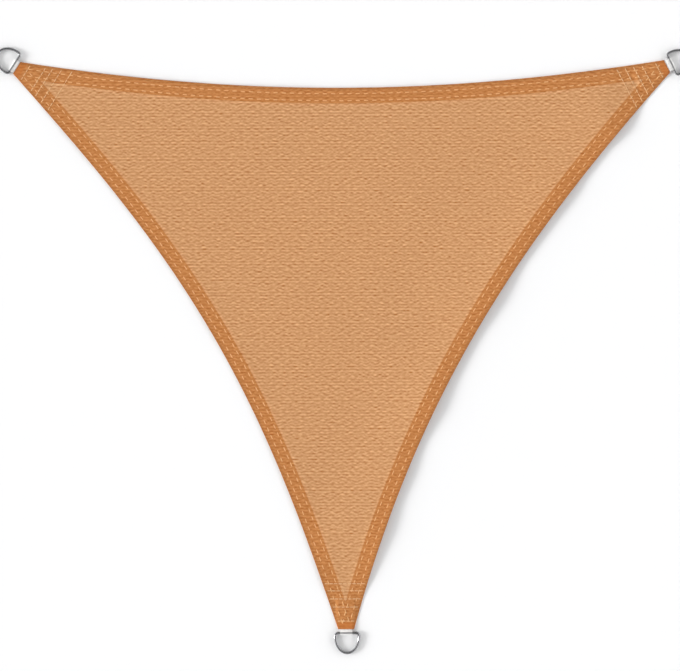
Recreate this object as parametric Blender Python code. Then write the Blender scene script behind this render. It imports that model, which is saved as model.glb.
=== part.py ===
"""Triangular shade sail with hollow-curved sides, lying flat with its face up.

Metres, +Z up. The top side of the sail runs along X, its lower corner points to -Y, and the
underside lies on z = 0. The shapes are laid out from the middle of the top side, and the empty
that carries them all puts the middle of the whole part's base on the origin.
"""
import math
from collections import namedtuple

import bmesh
import bpy
from mathutils import Matrix, Vector
from mathutils.geometry import intersect_line_line_2d

MM = 0.001
GAP = 0.3 * MM                      # clearance between pieces that touch

# Cloth
SHEET = 1.2 * MM                    # one layer of the knitted cloth
HEM_HEIGHT = 2 * SHEET              # the cloth is folded once along its sides
HEM_WIDTH = 48.6 * MM
TOP_SIDE = 2.000                    # between the middles of the corner ends
LEFT_SIDE = 2.002
RIGHT_SIDE = 1.993
SIDE_STEPS = 32                     # straight pieces in each curved side

# Webbing
WEB_WIDTH = 38 * MM
WEB_THICK = 1.2 * MM
TAIL_LENGTH = 95 * MM               # sewn into the corner, from its square end
MOUTH = 1 * MM                      # past the square end, where the two tails part
TURN_STEPS = 14                     # straight pieces in the turn round the bar

# Corner build-up: one layer under the two tails and one layer over them
SLOT_HEIGHT = 2 * WEB_THICK + 2 * GAP
CORNER_HEIGHT = 2 * SHEET + SLOT_HEIGHT
COVER_WIDTH = WEB_WIDTH + 4 * MM    # flat top of the cloth over the tails
COVER_LENGTH = TAIL_LENGTH + 2 * MM
COVER_SLOPE = 1.0                   # how far it spreads for each metre that it drops

# D-ring: a straight bar and a bow that follows half an ellipse and a little more
WIRE_RADIUS = 4.0 * MM
WIRE_SIDES = 12
BOW_HALF_WIDTH = 36.3 * MM          # to the middle of the wire
BOW_DEPTH = 48.9 * MM               # from the widest place to the tip
BAR_TO_WIDEST = 12.9 * MM
BOW_START = math.radians(-6)        # where the bow leaves the bent corner
BOW_STEPS = 25                      # an odd number, so that a flat lies across the tip
BEND_STEPS = 5
BAR_STEPS = 4
BAR_HEIGHT = WEB_THICK + GAP + WIRE_RADIUS

PAST = 20 * MM                      # how far a cutter reaches past what it cuts

# How far a side is drawn in: at its middle, more towards one end, and at its shoulders
Side = namedtuple("Side", "first last sag skew shoulder")
SIDES = (
    Side("right", "left", 0.0822, 0.001, -0.004),
    Side("left", "lower", 0.124, 0.002, -0.026),
    Side("lower", "right", 0.125, -0.011, -0.011),
)

# width and heading of the cloth's square end, then the ring's heading, how far its bar stands
# out from that end, and how far it has slipped along the bar's own direction
Corner = namedtuple("Corner", "width heading ring_heading reach slip")
CORNERS = {
    "left": Corner(42.8 * MM, math.radians(147.7), math.radians(146.5), 12.5 * MM, -6.0 * MM),
    "right": Corner(42.8 * MM, math.radians(27.5), math.radians(25.8), 15.5 * MM, -2.0 * MM),
    "lower": Corner(49.0 * MM, math.radians(-90.0), math.radians(-90.0), 11.5 * MM, 3.0 * MM),
}

# name: base colour, roughness, metallic
FINISHES = {
    "knit": ((0.62, 0.31, 0.13), 0.85, 0.0),
    "webbing": ((0.82, 0.81, 0.78), 0.80, 0.0),
    "steel": ((0.66, 0.66, 0.67), 0.20, 1.0),
}


# ---------------------------------------------------------------- the flat layout
def corner_places():
    """Middle of each corner end, from the three side lengths."""
    x = (LEFT_SIDE ** 2 - RIGHT_SIDE ** 2) / (2 * TOP_SIDE)
    y = -math.sqrt(LEFT_SIDE ** 2 - (x + TOP_SIDE / 2) ** 2)
    return {
        "left": Vector((-TOP_SIDE / 2, 0)),
        "right": Vector((TOP_SIDE / 2, 0)),
        "lower": Vector((x, y)),
    }


def end_points(name):
    """The two corners of a square end, in the order in which the outline meets them."""
    corner = CORNERS[name]
    across = Vector((-math.sin(corner.heading), math.cos(corner.heading)))
    middle = corner_places()[name]
    return middle - across * corner.width / 2, middle + across * corner.width / 2


def side_line(side, depth=0.0):
    """Points along a side, from its first corner, moved into the cloth by depth."""
    start = end_points(side.first)[1]
    end = end_points(side.last)[0]
    chord = end - start
    along = chord.normalized()
    inward = Vector((-along.y, along.x))
    points = []
    for step in range(SIDE_STEPS + 1):
        t = 2 * step / SIDE_STEPS - 1
        bulge = side.sag + side.skew * t + side.shoulder * t * t
        drawn_in = (1 - t * t) * bulge
        rise = 2 * (1 - t * t) * (side.skew + 2 * side.shoulder * t) - 4 * t * bulge
        tangent = along + inward * rise / chord.length
        normal = Vector((-tangent.y, tangent.x)).normalized()
        points.append(start + chord * (t + 1) / 2 + inward * drawn_in + normal * depth)
    return points


def outline():
    """The edge of the cloth, with its three square ends."""
    return [point for side in SIDES for point in side_line(side)]


def crossing(first, second):
    """Where two lines of points cross: the place and the step of each line just before it."""
    for i in range(len(first) - 1):
        for j in range(len(second) - 1):
            place = intersect_line_line_2d(first[i], first[i + 1], second[j], second[j + 1])
            if place:
                return place, i, j
    raise ValueError("the inner edges of the hem don't meet")


def inside_hem():
    """The single-layer middle of the cloth, inside the hem."""
    lines = [side_line(side, HEM_WIDTH) for side in SIDES]
    points = []
    for number, line in enumerate(lines):
        start, _, skipped = crossing(lines[number - 1], line)
        _, last, _ = crossing(line, lines[(number + 1) % len(lines)])
        points.append(start)
        points.extend(line[skipped + 1:last + 1])
    return points


# ---------------------------------------------------------------- shared making
def finish(name):
    colour, roughness, metallic = FINISHES[name]
    material = bpy.data.materials.new(name)
    material.use_nodes = True
    shader = material.node_tree.nodes["Principled BSDF"]
    shader.inputs["Base Color"].default_value = (*colour, 1.0)
    shader.inputs["Roughness"].default_value = roughness
    shader.inputs["Metallic"].default_value = metallic
    return material


def add_object(name, mesh, matrix=None, material=None, parent=None):
    bmesh.ops.recalc_face_normals(mesh, faces=mesh.faces)
    data = bpy.data.meshes.new(name)
    mesh.to_mesh(data)
    mesh.free()
    piece = bpy.data.objects.new(name, data)
    bpy.context.collection.objects.link(piece)
    piece.parent = parent
    if matrix is not None:
        piece.matrix_local = matrix
    if material is not None:
        data.materials.append(material)
    return piece


def prism(points, low, high):
    """A closed solid on a flat outline, from one height to another."""
    mesh = bmesh.new()
    floor = [mesh.verts.new((x, y, low)) for x, y in points]
    roof = [mesh.verts.new((x, y, high)) for x, y in points]
    mesh.faces.new(floor)
    mesh.faces.new(roof)
    for i in range(len(points)):
        mesh.faces.new((floor[i - 1], floor[i], roof[i], roof[i - 1]))
    return mesh


def combine(piece, tool, operation):
    """Cut a tool from a piece, or add it. The tool stays out of the model."""
    modifier = piece.modifiers.new(tool.name, "BOOLEAN")
    modifier.operation = operation
    modifier.solver = "EXACT"
    modifier.object = tool
    tool.hide_render = True
    tool.display_type = "WIRE"


def corner_matrix(name, heading):
    """Out of the corner along X, with the middle of the square end at the origin."""
    place = corner_places()[name]
    return Matrix.Translation((place.x, place.y, 0)) @ Matrix.Rotation(heading, 4, "Z")


# ---------------------------------------------------------------- cloth
def tail_cover(name, parent):
    """The hump of cloth over the two webbing tails, wider the lower it is."""
    mesh = bmesh.new()
    rims = []
    for height in (0, CORNER_HEIGHT + MM):
        spread = (CORNER_HEIGHT - height) * COVER_SLOPE
        back = -COVER_LENGTH - spread
        half = COVER_WIDTH / 2 + spread
        corners = ((back, -half), (PAST, -half), (PAST, half), (back, half))
        rims.append([mesh.verts.new((x, y, height)) for x, y in corners])
    low, high = rims
    mesh.faces.new(low)
    mesh.faces.new(high)
    for i in range(4):
        mesh.faces.new((low[i - 1], low[i], high[i], high[i - 1]))
    matrix = corner_matrix(name, CORNERS[name].ring_heading)
    return add_object("cover_" + name, mesh, matrix, parent=parent)


def tail_slot(name, parent):
    """The room for the tails between the corner's layers, open at the square end."""
    half = WEB_WIDTH / 2 + GAP
    back = -TAIL_LENGTH - GAP
    points = ((back, -half), (PAST, -half), (PAST, half), (back, half))
    mesh = prism(points, SHEET, SHEET + SLOT_HEIGHT)
    matrix = corner_matrix(name, CORNERS[name].ring_heading)
    return add_object("slot_" + name, mesh, matrix, parent=parent)


def above_cloth(parent):
    """All that is cut from a slab as thick as the corners, to leave the hem and the middle."""
    reach = max(TOP_SIDE, LEFT_SIDE, RIGHT_SIDE)
    wide = ((-reach, -reach), (reach, -reach), (reach, reach), (-reach, reach))
    air = add_object("above_hem", prism(wide, HEM_HEIGHT, PAST), parent=parent)
    well = add_object("above_middle", prism(inside_hem(), SHEET, PAST / 2), parent=parent)
    combine(air, well, "UNION")
    for name in CORNERS:
        combine(air, tail_cover(name, parent), "DIFFERENCE")
    return air


def make_sail(parent):
    slab = prism(outline(), 0, CORNER_HEIGHT)
    sail = add_object("sail", slab, material=finish("knit"), parent=parent)
    combine(sail, above_cloth(parent), "DIFFERENCE")
    for name in CORNERS:
        combine(sail, tail_slot(name, parent), "DIFFERENCE")
    return sail


# ---------------------------------------------------------------- webbing
def touching_angle(bar, radius, start, side):
    """Where a line from a start point touches the round: under it for -1, over it for 1."""
    run = bar[0] - start[0]
    climb = bar[1] - start[1]
    open_angle = math.asin(radius / math.hypot(run, climb))
    return math.atan2(climb, run) + side * (math.pi / 2 + open_angle)


def turn_round_bar(bar, radius, mouth, low, high):
    """(out, height) points from the mouth's low point, round the bar, to its high point."""
    first = touching_angle(bar, radius, (mouth, low), -1)
    last = touching_angle(bar, radius, (mouth, high), 1)
    angles = [first + (last - first) * step / TURN_STEPS for step in range(TURN_STEPS + 1)]
    points = [(bar[0] + radius * math.cos(a), bar[1] + radius * math.sin(a)) for a in angles]
    return [(mouth, low)] + points + [(mouth, high)]


def make_loop(name, parent, material):
    """Webbing folded round a ring's bar, with its two tails flat on each other."""
    corner = CORNERS[name]
    bar = (corner.reach, BAR_HEIGHT)
    middle = SHEET + GAP + WEB_THICK
    low = middle - WEB_THICK
    high = middle + WEB_THICK
    inner_radius = WIRE_RADIUS + GAP
    outer = turn_round_bar(bar, inner_radius + WEB_THICK, MOUTH, low, high)
    outer = [(-TAIL_LENGTH, low)] + outer + [(-TAIL_LENGTH, high)]
    inner = turn_round_bar(bar, inner_radius, MOUTH, middle, middle)[:-1]
    upright = Matrix.Rotation(math.pi / 2, 4, "X")
    matrix = corner_matrix(name, corner.ring_heading) @ upright
    half = WEB_WIDTH / 2
    loop = add_object("loop_" + name, prism(outer, -half, half), matrix, material, parent)
    way = prism(inner, -half - MM, half + MM)
    hole = add_object("bar_way_" + name, way, matrix, parent=parent)
    combine(loop, hole, "DIFFERENCE")
    return loop


# ---------------------------------------------------------------- D-ring
def on_bow(angle):
    """A place on the middle of the bow's wire, and the direction out of the ring there."""
    place = Vector((
        BAR_TO_WIDEST + BOW_DEPTH * math.sin(angle),
        BOW_HALF_WIDTH * math.cos(angle),
    ))
    out = Vector((math.sin(angle) / BOW_DEPTH, math.cos(angle) / BOW_HALF_WIDTH))
    return place, out.normalized()


def ring_path():
    """Places and outward directions along the middle of the wire, bar at x = 0, bow to +X.

    The bent corners touch both the bow, where it starts, and the straight bar.
    """
    start, lean = on_bow(BOW_START)
    bend = start.x / (1 + lean.x)
    centre = start - lean * bend
    first = math.atan2(lean.y, lean.x)
    bow_turn = math.pi - 2 * BOW_START
    path = [on_bow(BOW_START + bow_turn * step / BOW_STEPS) for step in range(BOW_STEPS + 1)]
    for step in range(1, BEND_STEPS + 1):
        angle = -first - (math.pi - first) * step / BEND_STEPS
        out = Vector((math.cos(angle), math.sin(angle)))
        path.append((Vector((centre.x, -centre.y)) + out * bend, out))
    for step in range(1, BAR_STEPS):
        path.append((Vector((0, centre.y * (2 * step / BAR_STEPS - 1))), Vector((-1, 0))))
    for step in range(BEND_STEPS):
        angle = math.pi - (math.pi - first) * step / BEND_STEPS
        out = Vector((math.cos(angle), math.sin(angle)))
        path.append((centre + out * bend, out))
    return path


def make_ring(name, parent, material):
    """Round wire along the ring's path, with a flat side inwards, outwards, up and down."""
    mesh = bmesh.new()
    rims = []
    for place, out in ring_path():
        rim = []
        for side in range(WIRE_SIDES):
            angle = 2 * math.pi * (side + 0.5) / WIRE_SIDES
            spot = place + out * WIRE_RADIUS * math.cos(angle)
            rim.append(mesh.verts.new((spot.x, spot.y, WIRE_RADIUS * math.sin(angle))))
        rims.append(rim)
    for i, rim in enumerate(rims):
        before = rims[i - 1]
        for side in range(WIRE_SIDES):
            mesh.faces.new((before[side - 1], before[side], rim[side], rim[side - 1]))
    corner = CORNERS[name]
    tilt = math.asin((BAR_HEIGHT - WIRE_RADIUS) / (BAR_TO_WIDEST + BOW_DEPTH))
    matrix = corner_matrix(name, corner.ring_heading)
    matrix = matrix @ Matrix.Translation((corner.reach, corner.slip, BAR_HEIGHT))
    matrix = matrix @ Matrix.Rotation(tilt, 4, "Y")
    ring = add_object("ring_" + name, mesh, matrix, material, parent)
    ring.data.shade_smooth()
    return ring


# ---------------------------------------------------------------- the whole part
def clear_scene():
    for item in list(bpy.data.objects):
        bpy.data.objects.remove(item)


def centre_on_base(carrier, pieces):
    """Put the middle of the part's base on the origin."""
    bpy.context.view_layer.update()
    places = [piece.matrix_world @ vertex.co for piece in pieces for vertex in piece.data.vertices]
    for axis in (0, 1):
        low = min(place[axis] for place in places)
        high = max(place[axis] for place in places)
        carrier.location[axis] = -(low + high) / 2


def main():
    clear_scene()
    carrier = bpy.data.objects.new("layout", None)
    bpy.context.collection.objects.link(carrier)
    webbing = finish("webbing")
    steel = finish("steel")
    pieces = [make_sail(carrier)]
    for name in CORNERS:
        pieces.append(make_loop(name, carrier, webbing))
        pieces.append(make_ring(name, carrier, steel))
    centre_on_base(carrier, pieces)


main()
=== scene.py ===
"""Triangular shade sail, laid out flat with its face up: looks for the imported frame.

The cloth with its double-stitched hem, the corner stitching, the webbing loops and the D-rings are
made here at the places of the frame's solids. Metres, +Z up, the sail's top side along X.
"""
import math
from collections import namedtuple
from contextlib import contextmanager

import bpy
import numpy as np
from mathutils import Matrix, Vector
from mathutils.geometry import delaunay_2d_cdt


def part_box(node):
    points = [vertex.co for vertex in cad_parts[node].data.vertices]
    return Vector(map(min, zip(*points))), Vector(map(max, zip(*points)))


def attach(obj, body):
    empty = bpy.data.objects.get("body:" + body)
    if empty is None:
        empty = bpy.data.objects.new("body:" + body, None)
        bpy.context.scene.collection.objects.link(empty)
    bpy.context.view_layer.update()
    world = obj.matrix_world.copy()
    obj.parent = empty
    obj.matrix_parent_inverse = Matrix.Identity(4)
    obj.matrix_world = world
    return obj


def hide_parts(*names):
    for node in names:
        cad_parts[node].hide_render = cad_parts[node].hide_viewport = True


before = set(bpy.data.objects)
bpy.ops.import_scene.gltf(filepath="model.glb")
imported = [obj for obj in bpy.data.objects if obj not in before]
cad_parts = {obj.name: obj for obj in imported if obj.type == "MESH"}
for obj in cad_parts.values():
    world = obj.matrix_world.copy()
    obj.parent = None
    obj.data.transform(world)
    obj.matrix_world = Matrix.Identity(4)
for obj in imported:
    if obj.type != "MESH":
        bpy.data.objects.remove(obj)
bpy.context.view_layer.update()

bl_info = {
    "name": "Shade Sail",
    "version": (1, 0, 0),
    "blender": (4, 5, 0),
    "location": "View3D > Sidebar > Sail",
    "description": "Makes a hemmed triangular shade sail with a D-ring at each corner",
    "category": "Add Mesh",
}

MM = 0.001
TAU = 2 * math.pi

# How far a side is drawn in: at its middle, more towards one end, and at its shoulders
Side = namedtuple("Side", "first last sag skew shoulder")
SIDES = (
    Side("right", "left", 0.0822, 0.001, -0.004),
    Side("left", "lower", 0.124, 0.002, -0.026),
    Side("lower", "right", 0.125, -0.011, -0.011),
)

# Width and heading of the cloth's square end, then the ring's heading, how far its bar stands
# out from that end, and how far it has slipped along the bar's own direction
Corner = namedtuple("Corner", "width heading ring_heading reach slip")
CORNERS = {
    "left": Corner(42.8 * MM, math.radians(147.7), math.radians(146.5), 12.5 * MM, -6.0 * MM),
    "right": Corner(42.8 * MM, math.radians(27.5), math.radians(25.8), 15.5 * MM, -2.0 * MM),
    "lower": Corner(49.0 * MM, math.radians(-90.0), math.radians(-90.0), 11.5 * MM, 3.0 * MM),
}
# Rows of stitches across each corner, in millimetres from its square end
Rows = namedtuple("Rows", "first second third fourth fifth")
CORNER_ROWS = {
    "left": Rows(31, 75, 95, 120, 150),
    "right": Rows(27, 67, 92, 117, 141),
    "lower": Rows(25, 68, 93, 118, 140),
}


# -------------------- sizes and colours
def length(name, description, millimetres):
    return bpy.props.FloatProperty(
        name=name, description=description, default=millimetres * MM, min=0, unit="LENGTH")


def colour(name, description, rgb):
    return bpy.props.FloatVectorProperty(
        name=name, description=description, default=rgb, min=0, max=1, size=3, subtype="COLOR")


class SailSizes(bpy.types.PropertyGroup):
    """Sizes of the cloth, its sewing, the webbing and the rings."""
    top_side: length("Top side", "Between the middles of the upper corner ends", 2000)
    left_side: length("Left side", "Between the middles of the left and lower corner ends", 2002)
    right_side: length("Right side", "Between the middles of the right and lower corner ends", 1993)
    layer: length("Cloth layer", "Thickness of one layer of the knitted cloth", 1.2)
    hem: length("Hem width", "Width of the cloth that is folded over along each side", 48.6)
    outer_row: length("Outer stitch row", "From the edge to the outer row of stitches", 18.0)
    inner_row: length("Inner stitch row", "From the edge to the inner row of stitches", 39.5)
    stitch_pitch: length("Stitch pitch", "From one stitch to the next", 25.2)
    stitch_length: length("Stitch length", "Thread that shows on the face, for each stitch", 14.5)
    thread: length("Thread width", "Width of the flattened thread", 3.0)
    corner_pitch: length("Corner pitch", "From one corner stitch to the next", 14.5)
    course: length("Knit course", "From one course of the knit to the next", 9.51)
    wave: length("Knit wave", "Length of the wave that the tape makes along a course", 30.4)
    band: length("Knit band", "From one straight course to the next", 46.2)
    wale: length("Knit wale", "Width of one column of the knit's loops", 2.3)
    loop: length("Knit loop", "Length of one loop in its column", 1.7)
    web_width: length("Webbing width", "Width of the corner loops", 38)
    web_thick: length("Webbing thickness", "Thickness of the corner loops", 1.1)
    tail: length("Webbing tail", "Webbing sewn into the corner", 95)
    clearance: length("Clearance", "Between pieces that touch", 0.3)
    wire: length("Wire radius", "Radius of the rings' wire", 4)
    bow_half_width: length("Bow half width", "To the middle of the wire", 36.3)
    bow_depth: length("Bow depth", "From the bow's widest place to its tip", 48.9)
    bar_to_widest: length("Bar to widest", "From the bar to the bow's widest place", 12.9)


class SailColours(bpy.types.PropertyGroup):
    """Colours of the cloth, thread, webbing and steel."""
    cloth: colour("Cloth", "The single layer of cloth", (0.605, 0.319, 0.141))
    hem: colour("Hem", "The doubled cloth", (0.527, 0.216, 0.067))
    corner: colour("Corner", "The plain end of a corner", (0.550, 0.175, 0.039))
    thread: colour("Thread", "Hem stitches", (0.76, 0.41, 0.172))
    pale_thread: colour("Pale thread", "Corner stitches", (0.765, 0.465, 0.235))
    webbing: colour("Webbing", "Corner loops", (0.93, 0.92, 0.90))
    steel: colour("Steel", "D-rings", (0.30, 0.30, 0.31))
    floor: colour("Floor", "The surface that the sail lies on", (0.94, 0.94, 0.945))


# -------------------- shader maths
def forward(operation):
    """An operator with the wire first, as in wire - 1."""
    return lambda wire, other: wire.math(operation, wire, other)


def reflected(operation):
    """The same operator with the wire last, as in 1 - wire."""
    return lambda wire, other: wire.math(operation, other, wire)


class Wire:
    """A socket's value. Arithmetic on it adds the nodes that work it out."""
    __add__, __radd__ = forward("ADD"), reflected("ADD")
    __sub__, __rsub__ = forward("SUBTRACT"), reflected("SUBTRACT")
    __mul__, __rmul__ = forward("MULTIPLY"), reflected("MULTIPLY")
    __truediv__, __rtruediv__ = forward("DIVIDE"), reflected("DIVIDE")
    __lt__ = forward("LESS_THAN")

    def __init__(self, finish, socket):
        self.finish = finish
        self.socket = socket

    def math(self, operation, *values):
        settings = {"operation": operation}
        return self.finish.node("ShaderNodeMath", settings, dict(enumerate(values)))

    def sine(self):
        return self.math("SINE", self)

    def size(self):
        return self.math("ABSOLUTE", self)

    def wave(self, length, shift=0):
        """A sine wave of this length, shifted by an angle."""
        return (self * (TAU / length) + shift).sine()

    def from_middle(self, pitch):
        """Share of a pitch from the middle of each repeat: 0 there, and 0.5 at its ends."""
        return (self.math("FRACT", self * (1 / pitch)) - 0.5).size()

    def step(self, low, high):
        """0 below the low value, 1 above the high one, and a smooth rise between them."""
        settings = {"interpolation_type": "SMOOTHSTEP"}
        return self.finish.node("ShaderNodeMapRange", settings, {0: self, 1: low, 2: high})


class Finish:
    """A material, or the world, built from its nodes."""

    def __init__(self, owner):
        owner.use_nodes = True
        self.owner = owner
        self.tree = owner.node_tree

    def node(self, kind, settings=None, inputs=None, output=0):
        node = self.tree.nodes.new(kind)
        for name, value in (settings or {}).items():
            setattr(node, name, value)
        for name, value in (inputs or {}).items():
            self.feed(node.inputs[name], value)
        return Wire(self, node.outputs[output])

    def feed(self, socket, value):
        """Link a socket to a wire, or give it a plain value."""
        if isinstance(value, Wire):
            self.tree.links.new(value.socket, socket)
        else:
            socket.default_value = value

    def set(self, shader="Principled BSDF", **inputs):
        """Values and links of the shader that comes with the owner."""
        for name, value in inputs.items():
            self.feed(self.tree.nodes[shader].inputs[name.replace("_", " ")], value)

    def place(self):
        return self.node("ShaderNodeTexCoord", output="Object")

    def parts(self, vector):
        return [self.node("ShaderNodeSeparateXYZ", inputs={0: vector}, output=i) for i in range(3)]

    def uv(self, name):
        return self.parts(self.node("ShaderNodeUVMap", {"uv_map": name}))

    def attribute(self, name):
        return self.node("ShaderNodeAttribute", {"attribute_name": name}, output="Fac")

    def noise(self, vector, scale, detail=2.0, roughness=0.5):
        """Noise from about -1 to 1."""
        inputs = {"Vector": vector, "Scale": scale, "Detail": detail, "Roughness": roughness}
        return self.node("ShaderNodeTexNoise", inputs=inputs) * 2 - 1

    def streaks(self, scale, detail=1.0):
        """Noise from about -1 to 1, with its own scale along each axis."""
        inputs = {"Vector": self.place(), "Scale": scale}
        return self.noise(self.node("ShaderNodeMapping", inputs=inputs), 1.0, detail)

    def mix(self, share, first, second):
        """A colour between two others."""
        values = {0: share, 6: opaque(first), 7: opaque(second)}
        return self.node("ShaderNodeMix", {"data_type": "RGBA"}, values, output=2)

    def shaded(self, tone, brightness):
        """A colour made lighter or darker."""
        values = {0: tone if isinstance(tone, Wire) else tone[:3], "Scale": brightness}
        return self.node("ShaderNodeVectorMath", {"operation": "SCALE"}, values)

    def tinted(self, tone, tint):
        """A colour multiplied by another."""
        return self.node("ShaderNodeVectorMath", {"operation": "MULTIPLY"}, {0: tone, 1: tint})

    def bump(self, height, distance, strength=1.0):
        inputs = {"Height": height, "Distance": distance, "Strength": strength}
        return self.node("ShaderNodeBump", inputs=inputs)


def opaque(tone):
    return tone if isinstance(tone, Wire) else (*tone[:3], 1.0)


def new_material(name):
    return Finish(bpy.data.materials.new(name))


# -------------------- finishes
STROKES = 0.285  # how strongly the knit's strokes show
SHADED = (0.72, 0.50, 0.34)  # what the strokes' two ends multiply a colour by
LIT = (1.30, 1.46, 1.66)
BROKEN_COURSE = 11.9 * MM  # between the courses that the broken strokes follow
LOOP_SHADE = 0.055  # how strongly the knit's fine loops show, as painted light and shade of their relief, darkest in the grooves
WANDER = 0.7 * MM  # how far the loops' columns stray
GROOVE = (0.36, 0.50)  # where the groove beside a column starts and is deepest
FOLD_SHADE = (3 * MM, 12 * MM)  # depths over which the painted shade on the fold fades
HEM_BLUR = 1.5 * MM  # half the change of tone at the hem's cut edge
HIGHLIGHT_HALF = 4 * MM  # half the width of the painted highlight, a pale line just inside that edge
EDGE_SHADE = 0.82  # brightness of the painted shade on the fold at the very edge
PLAIN_END = (18 * MM, 24 * MM)  # between these, from a square end, the plainer tone gives way
STITCH_HALF = (0.26, 0.30)  # where a painted stitch fades out, as a share of its pitch
THREAD_BLUR = 0.4 * MM  # half the blur at a painted thread's sides
ROW_INSET = 5 * MM  # between a corner row's ends and the cloth's edge
CORNER_THREAD = 0.85  # width of the corners' thread, against the hem's
PLY = 2.1 * MM  # length of one turn of the thread's two plies
RIB = 1.9 * MM  # between the webbing's warp ribs
PICK = 1.3 * MM  # between the threads across it
SELVEDGE = (2.5 * MM, 0.5 * MM)  # where it starts and is full, in from the webbing's edge
KNIT_RELIEF = 0.5 * MM  # height that each finish seems to have
PLY_RELIEF = 0.07 * MM
WEAVE_RELIEF = 0.2 * MM
STEEL_RELIEF = 0.03 * MM


def knit_strokes(finish, sizes):
    """The knit's light and dark strokes, from about -1 to 1: arches between straighter courses."""
    x, y, _ = finish.parts(finish.place())
    drift = finish.streaks((22.0, 34.0, 1.0))
    stray = finish.streaks((80.0, 60.0, 1.0))
    streak = finish.streaks((78.0, 52.0, 1.0))
    speck = finish.streaks((100.0, 130.0, 1.0), 0.0)
    band = y.wave(sizes.band, drift * 0.8) * 0.5 + 0.5
    swing = x.wave(sizes.wave, drift * 2.6)
    arch = swing + stray * 1.5
    line = y.wave(sizes.course, arch * (band * 1.5 + 0.15)) * (1.1 - band * 0.4)
    brick = swing * y.wave(sizes.course * 2, drift * 1.2)
    broken = streak * y.wave(BROKEN_COURSE, drift * 1.5)
    return line * 0.60 + brick * 0.38 + broken * 2.4 + speck * 0.8


def knit_loops(finish, sizes):
    """The knit's fine loops, from -1 to 1: columns of slanting tapes with a groove between them."""
    x, y, _ = finish.parts(finish.place())
    wander = finish.noise(finish.place(), 45.0, 1.0) * WANDER
    fold = (x + wander).from_middle(sizes.wale)
    tape = (y + wander).wave(sizes.loop, fold * (TAU * 0.9))
    groove = fold.step(*GROOVE)
    return tape * (1 - groove) - groove


def painted_row(beside, along, pitch, width):
    """A row of stitches: 1 on the thread and 0 off it, from the distance beside the row."""
    off_thread = beside.size().step(width / 2 - THREAD_BLUR, width / 2 + THREAD_BLUR)
    between = along.from_middle(pitch).step(*STITCH_HALF)
    return (1 - off_thread) * (1 - between)


def knit(sizes, colours):
    """Knitted shade cloth: paler single, deeper where it is doubled, with painted shade along its fold
    and a painted highlight just inside the hem's cut edge.
    """
    finish = new_material("knit")
    along, depth, _ = finish.uv("Hem")
    inward, across, _ = finish.uv("Corner")
    underside = depth < 0
    depth = depth.size()
    strokes = knit_strokes(finish, sizes)
    loops = knit_loops(finish, sizes)
    single = depth.step(sizes.hem - HEM_BLUR, sizes.hem + HEM_BLUR)
    # painted shade: the cloth is made darker towards its folded edge
    fold = depth.step(*FOLD_SHADE)
    plain_end = 1 - inward.step(*PLAIN_END)
    tone = finish.mix(single, colours.hem, colours.cloth)
    tone = finish.mix(plain_end * 0.6, tone, colours.corner)
    # painted highlight: a pale line on the face just inside the hem's cut edge, where the face comes
    # down from the hem
    inner_edge_highlight = (1 - (depth - (sizes.hem + HIGHLIGHT_HALF)).size().step(0, HIGHLIGHT_HALF)) * 0.07
    cloud = finish.noise(finish.place(), 3.0, 3.0) * 0.02
    brightness = (1 + cloud + inner_edge_highlight) * (fold * (1 - EDGE_SHADE) + EDGE_SHADE)
    # painted light and shade of the fine loops, darkest in the grooves between their columns
    brightness = brightness * (loops * LOOP_SHADE + 1)
    strength = (single * 0.14 + 0.86) * (1 - plain_end * 0.5) * STROKES
    tint = finish.mix(strokes * strength + 0.5, SHADED, LIT)
    tone = finish.tinted(finish.shaded(tone, brightness), tint)
    sewn = 0
    for row in (sizes.outer_row, sizes.inner_row):
        sewn = painted_row(depth - row, along, sizes.stitch_pitch, sizes.thread) + sewn
    in_cloth = depth.step(ROW_INSET - MM, ROW_INSET)
    for row in zip(*CORNER_ROWS.values()):
        beside = inward - sum(row) / len(row) * MM
        across_corner = painted_row(beside, across, sizes.corner_pitch, sizes.thread * CORNER_THREAD)
        sewn = across_corner * in_cloth + sewn
    sewn = sewn * underside
    tone = finish.mix(sewn, tone, colours.thread)
    relief = strokes * 0.25 + loops * 0.16 + sewn
    finish.set(Base_Color=tone, Roughness=strokes * 0.06 + 0.80, Normal=finish.bump(relief, KNIT_RELIEF))
    finish.set(Specular_IOR_Level=0.08)
    return finish.owner


def thread(name, tone):
    """Two-ply thread: slanting bands of light and shade across it."""
    finish = new_material(name)
    along, around, _ = finish.uv("Twist")
    ply = along.wave(PLY, around * TAU)
    place = finish.place()
    fray = finish.noise(place, 900.0, 1.0)
    tint = finish.noise(place, 14.0, 1.0)
    brightness = 0.97 + ply * 0.05 + fray * 0.04 + tint * 0.05
    finish.set(Base_Color=finish.shaded(tone, brightness), Roughness=fray * 0.05 + 0.6)
    finish.set(Normal=finish.bump(ply, PLY_RELIEF), Specular_IOR_Level=0.25)
    return finish.owner


def woven(sizes, colours):
    """Off-white webbing: fine warp ribs, picks across them, and a grey line painted over the bar."""
    finish = new_material("webbing")
    across, along, _ = finish.uv("Weave")
    rib = across.wave(RIB)
    pick = along.wave(PICK, rib * 0.8)
    selvedge = across.size().step(*(sizes.web_width / 2 - inset for inset in SELVEDGE))
    wear = finish.noise(finish.place(), 260.0, 3.0, 0.6)
    grey_over_bar = finish.attribute("grey_over_bar")
    brightness = 0.97 + rib * 0.03 + pick * 0.03 + wear * 0.03 - selvedge * 0.05
    tone = finish.shaded(colours.webbing, brightness)
    grey = finish.shaded(colours.steel, wear * 0.1 + 0.45)
    # a grey line painted on the webbing over the bar, in a dull tone of the steel's colour
    tone = finish.mix(grey_over_bar * (wear * 0.06 + 0.94), tone, grey)
    finish.set(Base_Color=tone, Roughness=wear * 0.06 + 0.72)
    finish.set(Normal=finish.bump(rib * 0.5 + pick * 0.5, WEAVE_RELIEF), Sheen_Weight=0.1)
    return finish.owner


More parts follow.
